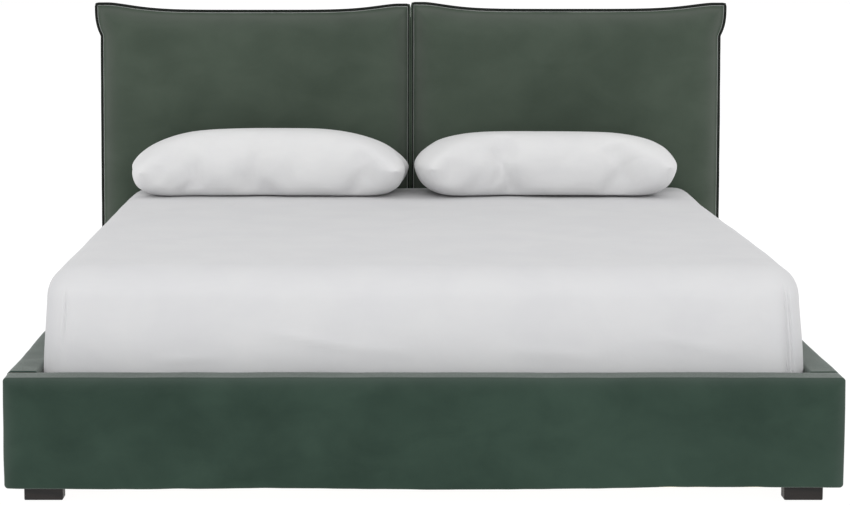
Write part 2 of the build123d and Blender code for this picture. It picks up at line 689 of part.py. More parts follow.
def arched_section(half_width, half_height, end_half_height):
    """A flat-ended lens: an arc above, its mirror image below, short straight ends."""
    ThreePointArc((-half_width, end_half_height), (0, half_height), (half_width, end_half_height))
    Line((half_width, end_half_height), (half_width, -end_half_height))
    ThreePointArc((half_width, -end_half_height), (0, -half_height), (-half_width, -end_half_height))
    Line((-half_width, -end_half_height), (-half_width, end_half_height))


def pillow_shape(half_length, inset):
    """A plump pillow centred on the origin, arched both along and across."""
    length = half_length - inset
    height = PILLOW_HALF_HEIGHT - inset
    depth = PILLOW_HALF_DEPTH - inset
    with BuildPart() as body:
        with BuildSketch(Plane.XZ):
            with BuildLine():
                arched_section(length, height, height * 0.22)
            make_face()
        extrude(amount=depth, both=True)
        with BuildSketch(Plane.YZ):
            with BuildLine():
                arched_section(depth, height, height * 0.42)
            make_face()
        extrude(amount=length, both=True, mode=Mode.INTERSECT)
    return body.part


def pillows():
    """Two pillows side by side against the headboard: insert and case."""
    bedding_top = MATTRESS_TOP + 2 * CLEAR + QUILT + COVERLET
    seat = bedding_top + CLEAR + PILLOW_HALF_HEIGHT
    y = WELL_HEAD - PILLOW_CENTRE_FROM_HEAD
    for side_name, (start, end) in PILLOW_SPANS.items():
        insert = pillow_shape((end - start) / 2, PILLOWCASE)
        outer = pillow_shape((end - start) / 2, 0)
        place = Pos((start + end) / 2, y, seat)
        save(place * insert, f"pillow_insert_{side_name}")
        save(place * (outer - insert), f"pillowcase_{side_name}")


os.makedirs("parts", exist_ok=True)
footboard()
for rail_name, rail_side in SIDES.items():
    side_rail(rail_name, rail_side)
feet()
corner_hardware()
ledgers()
slats()
centre_beam()
centre_legs()
backrest()
headboard_cushions()
mattress()
pillows()
print("overall", 2 * (HALF_WIDTH + CORNER_FLARE), 2 * HALF_LENGTH, CUSHION_HIGH + CORNER_RISE)
print("stem lead per radian, m", STEM_PITCH / 1000 / (2 * pi))
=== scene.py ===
# %% [markdown]
# # A king bed in green velvet
# The timber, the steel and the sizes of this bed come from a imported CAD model. What Blender adds
# is everything that is sewn: the velvet over the box frame, the two headboard cushions with their
# thin flanges, the mattress in its ticking, the white coverlet and the two plump pillows. Each
# soft piece is built in the place of the plain CAD solid that it stands for.

# %% Load the frame
import math

import bpy
import numpy as np
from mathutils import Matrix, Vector


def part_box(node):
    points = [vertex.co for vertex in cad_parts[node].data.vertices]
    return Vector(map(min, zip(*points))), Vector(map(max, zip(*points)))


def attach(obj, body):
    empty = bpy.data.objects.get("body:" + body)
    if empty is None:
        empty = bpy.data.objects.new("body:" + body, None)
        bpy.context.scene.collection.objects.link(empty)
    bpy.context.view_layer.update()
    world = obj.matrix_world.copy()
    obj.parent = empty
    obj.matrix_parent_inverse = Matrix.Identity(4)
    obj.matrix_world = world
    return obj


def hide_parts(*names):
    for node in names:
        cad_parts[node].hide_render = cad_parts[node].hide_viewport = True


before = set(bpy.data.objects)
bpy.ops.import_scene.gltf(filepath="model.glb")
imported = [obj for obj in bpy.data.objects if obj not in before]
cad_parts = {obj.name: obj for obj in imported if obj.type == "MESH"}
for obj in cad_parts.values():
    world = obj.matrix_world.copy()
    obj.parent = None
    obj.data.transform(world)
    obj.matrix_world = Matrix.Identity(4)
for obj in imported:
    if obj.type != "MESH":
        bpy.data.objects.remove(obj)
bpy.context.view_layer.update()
MM = 0.001

# %% [markdown]
# ## Shader maths as plain arithmetic
# A procedural finish is a sum of small effects, so it reads best as arithmetic. `Amount` wraps one
# number socket, and its operators add Math nodes. `Finish` is one material: its `node` method
# makes any other node from a type, its settings and the values or links of its sockets.


# %% A number that flows through a material
class Amount:
    """A socket with a number on it; arithmetic with it adds Math nodes."""

    def __init__(self, finish, socket):
        self.finish = finish
        self.socket = socket

    def _math(self, operation, first, second):
        made = self.finish.node("ShaderNodeMath", {"operation": operation}, {0: first, 1: second})
        return Amount(self.finish, made.outputs[0])

    def __add__(self, other):
        return self._math("ADD", self, other)

    def __radd__(self, other):
        return self._math("ADD", other, self)

    def __sub__(self, other):
        return self._math("SUBTRACT", self, other)

    def __rsub__(self, other):
        return self._math("SUBTRACT", other, self)

    def __mul__(self, other):
        return self._math("MULTIPLY", self, other)

    def __rmul__(self, other):
        return self._math("MULTIPLY", other, self)

    def __pow__(self, other):
        return self._math("POWER", self, other)


# %% One material and the nodes that make it
class Finish:
    """A material with a Principled shader, built node by node."""

    def __init__(self, name, **constants):
        self.material = bpy.data.materials.new(name)
        self.material.use_nodes = True
        self.tree = self.material.node_tree
        self.tree.nodes.clear()
        output = self.tree.nodes.new("ShaderNodeOutputMaterial")
        self.shader = self.tree.nodes.new("ShaderNodeBsdfPrincipled")
        self.tree.links.new(self.shader.outputs["BSDF"], output.inputs["Surface"])
        for socket_name, value in constants.items():
            self.shader.inputs[socket_name.replace("_", " ")].default_value = value
        self.place = self.node("ShaderNodeTexCoord").outputs["Object"]

    def node(self, kind, settings=None, sockets=None):
        """Any node, by its type, its settings, and the values or links of its sockets."""
        made = self.tree.nodes.new(kind)
        for key, value in (settings or {}).items():
            setattr(made, key, value)
        for key, value in (sockets or {}).items():
            self.feed(made.inputs[key], value)
        return made

    def feed(self, socket, value):
        """Sets a socket to a number, a colour, another socket or an Amount."""
        if isinstance(value, Amount):
            value = value.socket
        if isinstance(value, bpy.types.NodeSocket):
            self.tree.links.new(value, socket)
        else:
            socket.default_value = value

    def stretched(self, x, y, z):
        """The place on the piece, scaled along each axis."""
        made = self.node("ShaderNodeVectorMath", {"operation": "MULTIPLY"},
                         {0: self.place, 1: (x, y, z)})
        return made.outputs[0]

    def noise(self, scale, detail=3.0, roughness=0.55, place=None, distortion=0.0):
        made = self.node("ShaderNodeTexNoise", None, {
            "Vector": place or self.place, "Scale": scale, "Detail": detail,
            "Roughness": roughness, "Distortion": distortion})
        return Amount(self, made.outputs["Fac"])

    def cells(self, scale):
        made = self.node("ShaderNodeTexVoronoi", None, {"Vector": self.place, "Scale": scale})
        return Amount(self, made.outputs["Distance"])

    def waves(self, scale, direction, distortion=0.0, place=None):
        made = self.node("ShaderNodeTexWave", {"wave_type": "BANDS", "bands_direction": direction},
                         {"Vector": place or self.place, "Scale": scale, "Distortion": distortion,
                          "Detail": 1.0})
        return Amount(self, made.outputs["Fac"])

    def between(self, amount, low, high):
        """The amount's range low..high spread over 0..1, with soft ends."""
        made = self.node("ShaderNodeMapRange", {"interpolation_type": "SMOOTHSTEP"},
                         {"Value": amount, "From Min": low, "From Max": high})
        return Amount(self, made.outputs["Result"])

    def blend(self, amount, first, second):
        """A colour that goes from first to second as the amount goes from 0 to 1."""
        made = self.node("ShaderNodeMix", {"data_type": "RGBA"},
                         {"Factor": amount, 6: first, 7: second})
        return made.outputs[2]

    def relief(self, height, depth, strength=1.0, over=None):
        """A bump of this height field, in metres of depth, perhaps on top of another bump."""
        made = self.node("ShaderNodeBump", None,
                         {"Height": height, "Distance": depth, "Strength": strength})
        if over is not None:
            self.feed(made.inputs["Normal"], over)
        return made.outputs["Normal"]

    def colour(self, value):
        self.feed(self.shader.inputs["Base Color"], value)

    def rough(self, value):
        self.feed(self.shader.inputs["Roughness"], value)

    def normal(self, value):
        self.feed(self.shader.inputs["Normal"], value)


def paint(red, green, blue):
    """A colour from its 0..255 screen values, as the linear numbers a shader wants."""
    linear = [((v / 255 + 0.055) / 1.055) ** 2.4 if v > 10 else v / 255 / 12.92
              for v in (red, green, blue)]
    return (*linear, 1.0)


print("shader helpers ready")

# %% [markdown]
# ## Velvet
# Velvet is a dense pile of upright threads. Seen straight on it swallows light, and seen along the
# surface the tips of the pile catch it, which is what the sheen of the Principled shader does. A
# hand or a roller leaves the pile leaning in patches, so the colour drifts in large soft clouds and
# in faint streaks. Along seams and rounded edges the colour is painted paler and greyer, a painted
# sheen on top of the shader's own; each piece carries its amount as a number on its points. A very
# fine bump is the cut pile.


# %% Velvet finishes
EDGE_SHEEN_NAME = "painted_edge_sheen"


def velvet(name, deep, light, pale, sheen):
    finish = Finish(name, Sheen_Weight=sheen, Sheen_Roughness=0.3, Sheen_Tint=paint(228, 232, 229),
                    Specular_IOR_Level=0.15)
    clouds = finish.noise(2.2, detail=5.0, roughness=0.62)
    brushed = finish.noise(7.0, detail=4.0, place=finish.stretched(0.7, 1.0, 1.3), distortion=0.8)
    pile = finish.noise(900.0, detail=3.0)
    lean = finish.between(clouds * 0.60 + brushed * 0.28 + pile * 0.22, 0.30, 0.80)
    # The pale colour is a painted sheen along seams and rounded edges. A point attribute gives its
    # amount, and the brushed streaks break it up.
    edge_sheen_socket = finish.node("ShaderNodeAttribute", {"attribute_name": EDGE_SHEEN_NAME}).outputs["Fac"]
    painted_edge_sheen = Amount(finish, edge_sheen_socket) * (0.7 + brushed * 0.6)
    finish.colour(finish.blend(painted_edge_sheen, finish.blend(lean, deep, light), pale))
    finish.rough(0.86 - brushed * 0.14)
    crushed = finish.relief(clouds * 0.6 + brushed * 0.4, 0.0016, strength=0.5)
    finish.normal(finish.relief(pile, 0.0006, strength=0.4, over=crushed))
    return finish.material


VELVET = velvet("green_velvet", paint(33, 49, 41), paint(50, 68, 58), paint(68, 79, 73), 0.58)
CUSHION_VELVET = velvet("cushion_velvet", paint(55, 66, 56), paint(73, 84, 73),
                        paint(88, 92, 87), 0.62)
# A much darker copy of the velvet with little sheen, for the flange: painted shade along the cushion
# seams.
PAINTED_SHADE_FLANGE_VELVET = velvet("flange_velvet_painted_shade", paint(20, 23, 20), paint(32, 36, 32), paint(40, 43, 40), 0.15)
print("velvets made")

# %% [markdown]
# ## White cotton
# The coverlet and the pillowcases are plain woven cotton. Up close it is a grid of threads, which
# crossed bands of waves give. A wave texture of scale 1 has its crests 0.31 m apart, so a scale of
# 240 makes a cloth with a thread every 1.3 mm. Slubs, thicker stretches of thread, come from noise
# drawn out along one axis. Washed cotton is never quite smooth, so a broader, weaker bump adds the
# soft rumple that ironing leaves.


# %% Cotton finishes
THREAD_SCALE = 1500.0 / (2 * math.pi)


def cotton(name, shade, bright, rumple):
    finish = Finish(name, Sheen_Weight=0.12, Sheen_Roughness=0.5, Specular_IOR_Level=0.22)
    warp = finish.waves(THREAD_SCALE, "X")
    weft = finish.waves(THREAD_SCALE, "Y")
    across = finish.waves(THREAD_SCALE, "Z")
    slub = finish.noise(60.0, detail=2.0, place=finish.stretched(0.2, 5.0, 1.0))
    soft = finish.noise(7.0, detail=4.0, roughness=0.5, distortion=0.4)
    finish.colour(finish.blend(finish.between(soft * 0.8 + slub * 0.2, 0.2, 0.8), shade, bright))
    finish.rough(0.82 + slub * 0.12)
    pressed = finish.relief(soft, rumple, strength=0.6)
    weave = warp * weft + across * 0.5 + slub * 0.6
    finish.normal(finish.relief(weave, 0.0003, strength=0.22, over=pressed))
    return finish.material


COVERLET_COTTON = cotton("coverlet_cotton", paint(199, 199, 201), paint(204, 204, 205), 0.0025)
PILLOW_COTTON = cotton("pillow_cotton", paint(211, 211, 212), paint(217, 217, 217), 0.002)
print("cottons made")

# %% [markdown]
# ## Timber
# Sawn timber is dark late wood in light early wood, drawn out along the board. A noise stretched
# along the grain gives the fibres, and bands of waves bent by noise give the growth rings. Every
# board gets its own grain direction, because a rail lies along the bed and a slat across it.


# %% Timber finishes
GRAIN_ALONG = {"X": (0.10, 1.0, 1.0), "Y": (1.0, 0.10, 1.0), "Z": (1.0, 1.0, 0.10)}


def timber(name, light, dark, along, ring=26.0, gloss=0.55, fibre=180.0):
    finish = Finish(name, Specular_IOR_Level=0.35)
    grain = finish.stretched(*GRAIN_ALONG[along])
    rings = finish.waves(ring, "DIAGONAL", distortion=5.0, place=grain)
    fibres = finish.noise(fibre, detail=5.0, roughness=0.65, place=grain)
    tone = finish.noise(3.0, detail=2.0)
    figure = finish.between(rings * 0.5 + fibres * 0.5 + tone * 0.2, 0.32, 0.92)
    finish.colour(finish.blend(figure, light, dark))
    finish.rough(gloss + fibres * 0.2)
    finish.normal(finish.relief(fibres + rings * 0.3, 0.0006, strength=0.5))
    return finish.material


PINE = {axis: timber(f"pine_{axis.lower()}", paint(214, 184, 138), paint(172, 132, 84), axis)
        for axis in "XYZ"}
SLAT_PINE = timber("slat_pine", paint(226, 200, 156), paint(190, 152, 102), "X", ring=34.0)
BEECH = timber("beech", paint(206, 164, 118), paint(176, 130, 86), "Z", ring=14.0, fibre=260.0)
FOOT_STAIN = timber("espresso_stain", paint(26, 20, 18), paint(13, 10, 9), "X", gloss=0.42)
print("timbers made")

# %% [markdown]
# ## Plywood, metal, plastic and foam
# These pieces are hidden until someone looks under the bed or lifts the mattress, but they are
# what holds it up, so each has its own finish: rotary-cut ply with wide cathedral figure, powder
# coat with a fine orange peel, zinc plate with spangled patches, brushed aluminium, moulded
# plastic, and foam with open cells.


# %% Hardware finishes
def plywood():
    finish = Finish("birch_ply", Specular_IOR_Level=0.3)
    sweep = finish.waves(4.0, "Z", distortion=9.0, place=finish.stretched(0.3, 1.0, 1.0))
    fibres = finish.noise(150.0, detail=4.0, place=finish.stretched(0.06, 1.0, 1.0))
    figure = finish.between(sweep * 0.6 + fibres * 0.5, 0.2, 0.95)
    finish.colour(finish.blend(figure, paint(222, 196, 152), paint(188, 154, 108)))
    finish.rough(0.6 + fibres * 0.2)
    finish.normal(finish.relief(fibres, 0.0004, strength=0.4))
    return finish.material


def metal(name, base, tarnish, roughness, grain, brushed):
    finish = Finish(name, Metallic=1.0)
    patches = finish.noise(grain, detail=3.0, place=finish.stretched(*brushed))
    wear = finish.noise(30.0, detail=4.0)
    finish.colour(finish.blend(finish.between(patches * 0.7 + wear * 0.3, 0.35, 0.7), base, tarnish))
    finish.rough(roughness + patches * 0.2)
    finish.normal(finish.relief(patches, 0.0002, strength=0.25))
    return finish.material


def coated(name, base, worn, roughness, peel):
    finish = Finish(name, Specular_IOR_Level=0.4)
    skin = finish.noise(peel, detail=2.0)
    scuffs = finish.noise(14.0, detail=5.0, roughness=0.7)
    finish.colour(finish.blend(finish.between(scuffs, 0.45, 0.75), base, worn))
    finish.rough(roughness + scuffs * 0.15)
    finish.normal(finish.relief(skin, 0.0003, strength=0.4))
    return finish.material


def foam(name, pale, shade):
    finish = Finish(name, Specular_IOR_Level=0.1)
    pores = finish.cells(420.0)
    cloud = finish.noise(6.0)
    # The colour darkens towards the middle of each cell, where the relief dips: painted shade in the
    # open pores, with a random cloud of tone.
    finish.colour(finish.blend(finish.between(pores * 0.8 + cloud * 0.4, 0.2, 0.8), shade, pale))
    finish.rough(0.95 - cloud * 0.1)
    finish.normal(finish.relief(pores, 0.0012, strength=0.8))
    return finish.material


PLY = plywood()
ZINC = metal("zinc_plate", paint(196, 198, 202), paint(150, 152, 156), 0.28, 160.0, (1, 1, 1))
ALUMINIUM = metal("brushed_aluminium", paint(206, 207, 209), paint(168, 170, 173), 0.3, 500.0,
                  (0.02, 1, 1))
POWDER_COAT = coated("black_powder_coat", paint(28, 28, 30), paint(46, 46, 48), 0.42, 900.0)
BLACK_PLASTIC = coated("moulded_plastic", paint(30, 30, 31), paint(48, 48, 49), 0.5, 1600.0)
YELLOW_FOAM = foam("cream_foam", paint(236, 226, 190), paint(206, 192, 148))
print("hardware finishes made")

# %% [markdown]
# ## Dress the CAD pieces that stay
# Timber, plywood, steel and foam already have their true shape in the CAD model, so they keep it
# and only take a finish. One table says which finish each kind of node gets.

# %% Finishes for the CAD nodes
NODE_FINISH = {
    "footboard_frame": PINE["X"], "footboard_foam": YELLOW_FOAM,
    "side_rail_frame": PINE["Y"], "side_rail_foam": YELLOW_FOAM, "side_ledger": PINE["Y"],
    "foot_ledger": PINE["X"], "head_stop_board": PINE["X"], "centre_beam": PINE["Y"],
    "slats": SLAT_PINE, "slat_screws": ZINC, "beam_hangers": POWDER_COAT,
    "corner_brackets": POWDER_COAT, "corner_bolts": ZINC, "insert_nuts": ZINC,
    "foot_": FOOT_STAIN, "foot_screws": ZINC, "centre_legs": BEECH, "leg_plates": POWDER_COAT,
    "leg_inserts": ZINC, "leveller_pad": BLACK_PLASTIC, "leveller_stem": ZINC,
    "headboard_post": PINE["Z"], "headboard_cross_rail": PINE["X"], "headboard_stiles": PINE["Z"],
    "headboard_plywood_face": PLY, "headboard_cleats": ALUMINIUM, "cushion_cleat": ALUMINIUM,
    "cushion_board": PLY, "cushion_foam": YELLOW_FOAM, "pillow_insert": YELLOW_FOAM,
    "mattress_core": YELLOW_FOAM,
}


def dress(nodes, finishes):
    """Gives every node the finish whose key is the longest start of its name."""
    dressed = 0
    for name, node in nodes.items():
        keys = [key for key in finishes if name.startswith(key)]
        if keys:
            node.data.materials.clear()
            node.data.materials.append(finishes[max(keys, key=len)])
            dressed += 1
    return dressed


print("dressed nodes", dress(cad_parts, NODE_FINISH))

# %% [markdown]
# ## Small mesh tools
# A sewn piece is a grid of points that is shaped by arithmetic, so three helpers do most of the
# work. `piece` turns points and quads into an object. `drift` is smooth unevenness: a sum of sine
# waves whose directions come from one seed, so it never changes between runs. `rounded_box` is the
# skin of a box with soft edges, dense enough to be dented and puckered.


# %% Points, quads and unevenness
def piece(name, points, quads, finishes, marks=None):
    """A smooth mesh object of these points and quads; marks gives each quad its finish."""
    mesh = bpy.data.meshes.new(name)
    mesh.from_pydata([tuple(p) for p in points], [], [tuple(int(i) for i in q) for q in quads])
    for finish in finishes:
        mesh.materials.append(finish)
    if marks is not None:
        mesh.polygons.foreach_set("material_index", np.asarray(marks, np.int32))
    mesh.shade_smooth()
    made = bpy.data.objects.new(name, mesh)
    bpy.context.scene.collection.objects.link(made)
    return made


def paint_edge_sheen(made, amounts):
    """Stores on every point how much painted sheen its colour gets, from 0 to 1."""
    layer = made.data.attributes.new(EDGE_SHEEN_NAME, "FLOAT", "POINT")
    layer.data.foreach_set("value", np.asarray(amounts, np.float32))


def drift(points, size, seed, waves=14):
    """Smooth unevenness of about one unit over points, with bumps about size apart."""
    random = np.random.default_rng(seed)
    total = np.zeros(len(points))
    for _ in range(waves):
        direction = random.normal(size=3)
        direction /= np.linalg.norm(direction)
        length = size * random.uniform(0.7, 1.8)
        total += np.sin(points @ direction * 2 * math.pi / length + random.uniform(0, 2 * math.pi))
    return total / math.sqrt(waves / 2)


def soft_step(value, low, high):
    """0 below low, 1 above high, and a smooth S between."""
    share = np.clip((value - low) / (high - low), 0, 1)
    return share * share * (3 - 2 * share)


print("mesh helpers ready")

# %% The skin of a box with soft edges
EDGE_STEPS = 5


def ticks(low, high, radius, cell):
    """Grid lines along one side: close together over the rounding, even in between."""
    bend = radius * (1 - np.tan(np.radians(np.linspace(45, 0, EDGE_STEPS))))[:-1]
    count = max(2, round((high - low - 2 * radius) / cell) + 1)
    middle = np.linspace(low + radius, high - radius, count)
    return np.concatenate([low + bend, middle, high - bend[::-1]])


def rounded_box(low, high, radius, cell, fine_x=()):
    """Points, outward normals and quads of a box with rounded edges; fine_x adds grid lines."""
    low, high = np.array(low), np.array(high)
    lines = [ticks(low[k], high[k], radius, cell) for k in range(3)]
    lines[0] = np.union1d(lines[0], fine_x)
    lattice = np.stack(np.meshgrid(*lines, indexing="ij"), axis=-1)
    shell = np.zeros(lattice.shape[:3], bool)
    for k in range(3):
        ends = [slice(None)] * 3
        for end in (0, -1):
            ends[k] = end
            shell[tuple(ends)] = True
    number = np.full(shell.shape, -1)
    number[shell] = np.arange(shell.sum())
    points = lattice[shell]
    quads = []
    for k in range(3):
        for end in (0, -1):
            face = np.take(number, end, axis=k)
            a, b, c, d = face[:-1, :-1], face[1:, :-1], face[1:, 1:], face[:-1, 1:]
            outward = (end == -1) != (k == 1)
            order = (a, b, c, d) if outward else (a, d, c, b)
            quads.append(np.stack(order, axis=-1).reshape(-1, 4))
    core = np.clip(points, low + radius, high - radius)
    normals = points - core
    normals /= np.linalg.norm(normals, axis=1, keepdims=True)
    return core + radius * normals, normals, np.concatenate(quads)


print("a soft edge has", EDGE_STEPS, "grid lines on each side of its middle")


# %% Thickness and place of a finished piece
def keep_quads(points, quads):
    """Drops the points that no quad uses, and renumbers the quads."""
    used, renumbered = np.unique(quads, return_inverse=True)
    return points[used], renumbered.reshape(-1, 4)


def skin(made, thickness):
    """Gives an open skin the thickness of its cloth, inwards."""
    wall = made.modifiers.new("cloth_thickness", "SOLIDIFY")
    wall.thickness = thickness
    wall.offset = -1.0
    return made


def settle(made, body, nodes):
    """Places a finished piece on its body and hides the CAD nodes that it stands for."""
    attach(made, body)
    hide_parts(*nodes)
    print(made.name, "faces", len(made.data.polygons))
    return made


# %% [markdown]
# ## The upholstered box frame
# The footboard and the side rails are boards wrapped in wadding, with velvet pulled over and
# stapled underneath. The pull is never quite even: the faces swell by a millimetre or two, and the
# lower edge, where the staples are, wanders and puckers. A dense rounded skin with `drift` gives
# that. Faces that the real cover doesn't have, such as the rail ends that butt against the
# footboard and the open strip underneath, are left out, and the cloth gets its thickness inwards.
# At the head the rails stand out past the backrest, so there the velvet is drawn over their ends.

# %% Velvet over a board
RAIL_ROUND = 0.009
COVER_CLOTH = 0.0026
RETURN_WIDTH = 0.036
UPHOLSTERY_CELL = 0.011
STAPLE_REACH = 0.03
EDGE_WANDER = 1.9 * MM
EDGE_SHEEN_STRENGTH = 0.75
EDGE_SHEEN_REACH = 0.012


def stretched_cover(name, low, high, seed, keep, radius=RAIL_ROUND):
    """Velvet pulled over a board; keep says which faces exist, from their middles and normals."""
    points, normals, quads = rounded_box(low, high, radius, UPHOLSTERY_CELL)
    swell = 1.1 + 0.5 * drift(points, 0.55, seed) + 0.3 * drift(points, 0.13, seed + 1)
    near_staples = np.exp(-(points[:, 2] - low[2]) / STAPLE_REACH)
    pucker = 0.3 * drift(points, 0.09, seed + 2) * near_staples
    points = points + normals * (np.maximum(swell + pucker, 0.1) * MM)[:, None]
    points[:, 2] += EDGE_WANDER * drift(points * (1, 1, 0), 0.9, seed + 3) * near_staples
    wanted = keep(points[quads].mean(axis=1), normals[quads].mean(axis=1))
    points, quads = keep_quads(points, quads[wanted])
    made = piece(name, points, quads, [VELVET])
    # Painted sheen: the velvet is painted paler within about a centimetre of the top and upright
    # edges of the board.
    to_faces = np.minimum(points - low, np.array(high) - points)
    to_faces[:, 2] = high[2] - points[:, 2]
    from_edge = np.sort(to_faces, axis=1)[:, 1]
    paint_edge_sheen(made, EDGE_SHEEN_STRENGTH * np.exp(-np.maximum(from_edge, 0) / EDGE_SHEEN_REACH))
    return skin(made, COVER_CLOTH)


print("cover cloth", COVER_CLOTH / MM, "mm")

# %% Footboard
foot_low, foot_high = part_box("footboard_cover")
inner_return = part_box("slats")[1].z + 3 * MM


def footboard_faces(middles, facing):
    x, y, z = middles.T
    under = (facing[:, 2] < -0.7) & (y > foot_low.y + RETURN_WIDTH)
    under &= np.abs(x) < foot_high.x - RETURN_WIDTH
    open_back = (facing[:, 1] > 0.7) & (z < inner_return) & (np.abs(x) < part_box("slats")[1].x)
    return ~(under | open_back)


settle(stretched_cover("footboard_velvet", foot_low, foot_high, 11, footboard_faces),
       "frame", ["footboard_cover"])

# %% Side rails
PAST_FOOT = Vector((0, RAIL_ROUND, 0))
PAST_HEAD = Vector((0, 3 * MM, 0))


def side_rail(side_name, side):
    """The velvet of one side rail: no face at its foot end, a covered end at its head."""
    rail_low, rail_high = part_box(f"side_rail_cover_{side_name}")
    outer_edge = max(abs(rail_low.x), abs(rail_high.x))

    def rail_faces(middles, facing):
        x, y, z = middles.T
        foot_end = y < rail_low.y
        under = (facing[:, 2] < -0.7) & (side * x < outer_edge - RETURN_WIDTH)
        inside = (side * facing[:, 0] < -0.7) & (z < inner_return)
        return ~(foot_end | under | inside)

    cover = stretched_cover(f"side_rail_velvet_{side_name}", rail_low - PAST_FOOT,
                            rail_high + PAST_HEAD, 20 + side, rail_faces)
    settle(cover, "frame", [f"side_rail_cover_{side_name}"])


side_rail("left", -1)
side_rail("right", 1)

# %% [markdown]
# ## The back of the headboard
# The backrest is a timber frame under one piece of velvet that turns round the edges and ends in a
# staple line at the back. A black non-woven dust cloth closes the back, a little slack between its
# staples. The velvet is the same kind of skin as on the rails; the dust cloth is a flat grid that
# stands off a millimetre or two between its edges, and of each staple only the flat crown shows.

# %% Backrest velvet
BACKREST_ROUND = 0.005
BACK_MARGIN = 0.05
back_low, back_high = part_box("headboard_back_cover")


def backrest_faces(middles, facing):
    x, y, z = middles.T
    under = facing[:, 2] < -0.7
    open_back = (facing[:, 1] > 0.7) & (np.abs(x) < back_high.x - BACK_MARGIN)
    open_back &= (z < back_high.z - BACK_MARGIN) & (z > back_low.z + BACK_MARGIN)
    return ~(under | open_back)


settle(stretched_cover("headboard_back_velvet", back_low, back_high, 31, backrest_faces,
                       BACKREST_ROUND),
       "frame", ["headboard_back_cover"])


# %% Dust cloth
def dust_cloth_finish():
    finish = Finish("dust_cloth_felt", Specular_IOR_Level=0.2)
    dots = finish.cells(330.0)
    fibres = finish.noise(700.0, detail=3.0)
    cloud = finish.noise(5.0)
    finish.colour(finish.blend(finish.between(fibres * 0.6 + cloud * 0.5, 0.3, 0.8),
                               paint(24, 24, 26), paint(46, 46, 48)))
    finish.rough(0.85 + fibres * 0.1)
    finish.normal(finish.relief(dots + fibres * 0.5, 0.0008, strength=0.6))
    return finish.material


def flat_grid(across, up):
    """Quads of a grid of this many points each way."""
    number = np.arange(across * up).reshape(across, up)
    order = (number[:-1, :-1], number[1:, :-1], number[1:, 1:], number[:-1, 1:])
    return np.stack(order, axis=-1).reshape(-1, 4)


cloth_low, cloth_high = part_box("headboard_dust_cloth")
CLOTH_CELLS = (131, 71)
CLOTH_THICKNESS = 0.0008
CLOTH_OFFSET = 0.0036
SLACK_REACH = 0.12
grid_x, grid_z = np.meshgrid(np.linspace(cloth_low.x, cloth_high.x, CLOTH_CELLS[0]),
                             np.linspace(cloth_low.z, cloth_high.z, CLOTH_CELLS[1]), indexing="ij")
cloth_points = np.stack([grid_x, np.zeros_like(grid_x), grid_z], axis=-1).reshape(-1, 3)
to_edges = np.minimum(cloth_points - cloth_low, np.array(cloth_high) - cloth_points)
slack = soft_step(np.minimum(to_edges[:, 0], to_edges[:, 2]), 0.0, SLACK_REACH)
cloth_points[:, 1] = (cloth_low.y + CLOTH_OFFSET
                      + slack * (1.6 + 0.7 * drift(cloth_points, 0.3, 41)) * MM)
dust_cloth = piece("headboard_dust_cloth_felt", cloth_points, flat_grid(*CLOTH_CELLS)[:, ::-1],
                   [dust_cloth_finish()])
skin(dust_cloth, CLOTH_THICKNESS)
settle(dust_cloth, "frame", ["headboard_dust_cloth"])

# %% Staples
STAPLE_PITCH = 0.075
STAPLE_WIDTH = 0.010
STAPLE_WIRE = 0.0006
STAPLE_INSET = 0.009


def staples(rows):
    """Flat staple crowns, each a thin box, as one mesh; rows are (point, direction) pairs."""
    points, quads = [], []
    corner = np.array([(i, j, k) for i in (-1, 1) for j in (-1, 1) for k in (-1, 1)], float)
    faces = ((0, 1, 3, 2), (4, 6, 7, 5), (0, 4, 5, 1), (2, 3, 7, 6), (0, 2, 6, 4), (1, 5, 7, 3))
    for place, direction in rows:
        along = np.array(direction, float)
        side = np.cross(along, (0, 1, 0))
        start = len(points)
        for i, j, k in corner:
            points.append(np.array(place) + along * i * STAPLE_WIDTH / 2
                          + side * j * STAPLE_WIRE + np.array((0, 1, 0)) * k * STAPLE_WIRE / 2)
        quads += [[start + n for n in face] for face in faces]
    return points, quads


staple_y = cloth_low.y + CLOTH_OFFSET + 0.5 * MM
staple_rows = []
for x in np.arange(cloth_low.x + 0.03, cloth_high.x - 0.02, STAPLE_PITCH):
    for z in (cloth_low.z + STAPLE_INSET, cloth_high.z - STAPLE_INSET):
        staple_rows.append(((x, staple_y, z), (1, 0, 0)))
for z in np.arange(cloth_low.z + 0.05, cloth_high.z - 0.04, STAPLE_PITCH):
    for x in (cloth_low.x + STAPLE_INSET, cloth_high.x - STAPLE_INSET):
        staple_rows.append(((x, staple_y, z), (0, 0, 1)))
staple_mesh = piece("dust_cloth_staples", *staples(staple_rows), [ZINC])
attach(staple_mesh, "frame")
print("staples", len(staple_rows))

# %% [markdown]
# ## The headboard cushions
# Each cushion is a velvet bag over foam, sewn face to face with a flange: a thin flat rim outside
# the seam. The foam is square-cut, so the front stays nearly flat and rolls over fast at the edge.
# The seam pulls small puckers into the velvet, and at the corners the cover is drawn out into
# points that stand up and out. The cover is built as two panels on one outline, joined by the rim.

# %% Outline of a cushion
FLANGE = 0.009
EAR_TIP = 0.036
EAR_REACH = 0.118
EAR_POWER = 1.5
FLARE_REACH = 0.098
LEAN = 0.006
CUSHION_COLUMNS = 104
CUSHION_ROWS = 92
EDGE_CROWDING = 0.55


def crowded(count):
    """Numbers from 0 to 1, closer together near both ends."""
    even = np.linspace(0, 1, count)
    return (1 - EDGE_CROWDING) * even + EDGE_CROWDING * (0.5 - 0.5 * np.cos(math.pi * even))


def ear(distance):
    """How strongly a drawn-out corner lifts an edge at this distance from its blunt tip."""
    return np.exp(-(np.maximum(distance - EAR_TIP, 0) / EAR_REACH) ** EAR_POWER)


